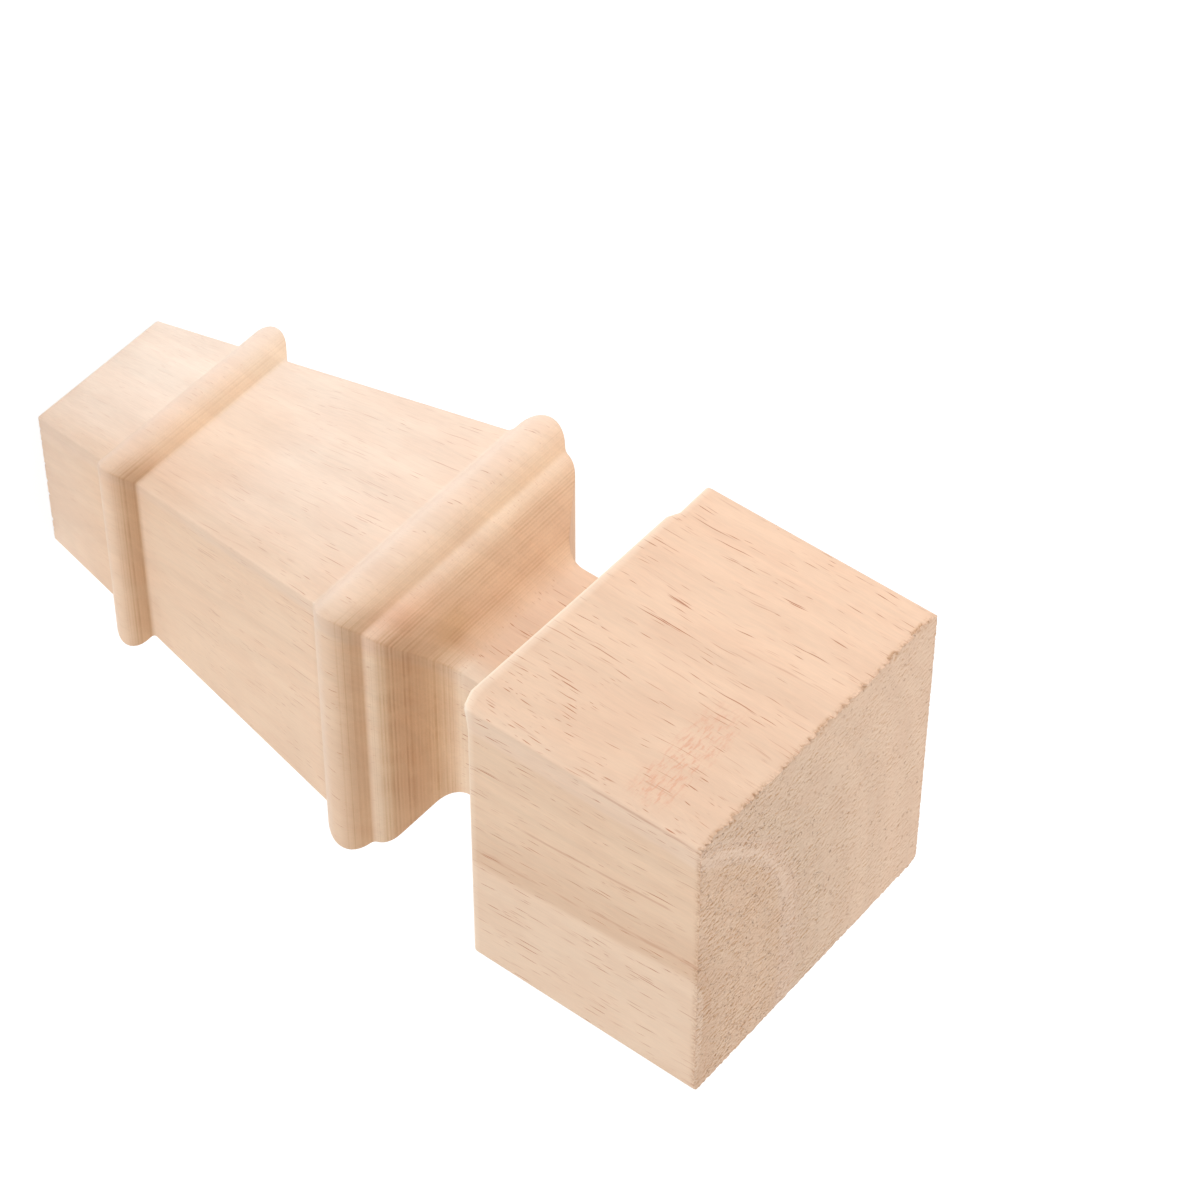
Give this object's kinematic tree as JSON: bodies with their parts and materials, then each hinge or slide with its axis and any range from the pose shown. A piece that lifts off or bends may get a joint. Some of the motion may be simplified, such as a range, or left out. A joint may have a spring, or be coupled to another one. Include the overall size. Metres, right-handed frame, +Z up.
{
  "type": "square tapered furniture leg",
  "caption": "Short square wooden furniture leg with a head block, a narrow neck, an ogee, two mitred beads and a tapered shaft, cut from one piece of solid wood.",
  "frame": {"origin": "centre of the foot's end face, on the floor", "axes": "+Z up along the leg's axis from the foot to the head, X and Y square to the four sides"},
  "size_m": [0.06, 0.06, 0.15],
  "materials": {
    "wood": "bare, machined and lightly sanded; the head's end grain is left rough from the saw"
  },
  "bodies": {
    "root": {"leg": "wood"}
  },
  "joints": []
}
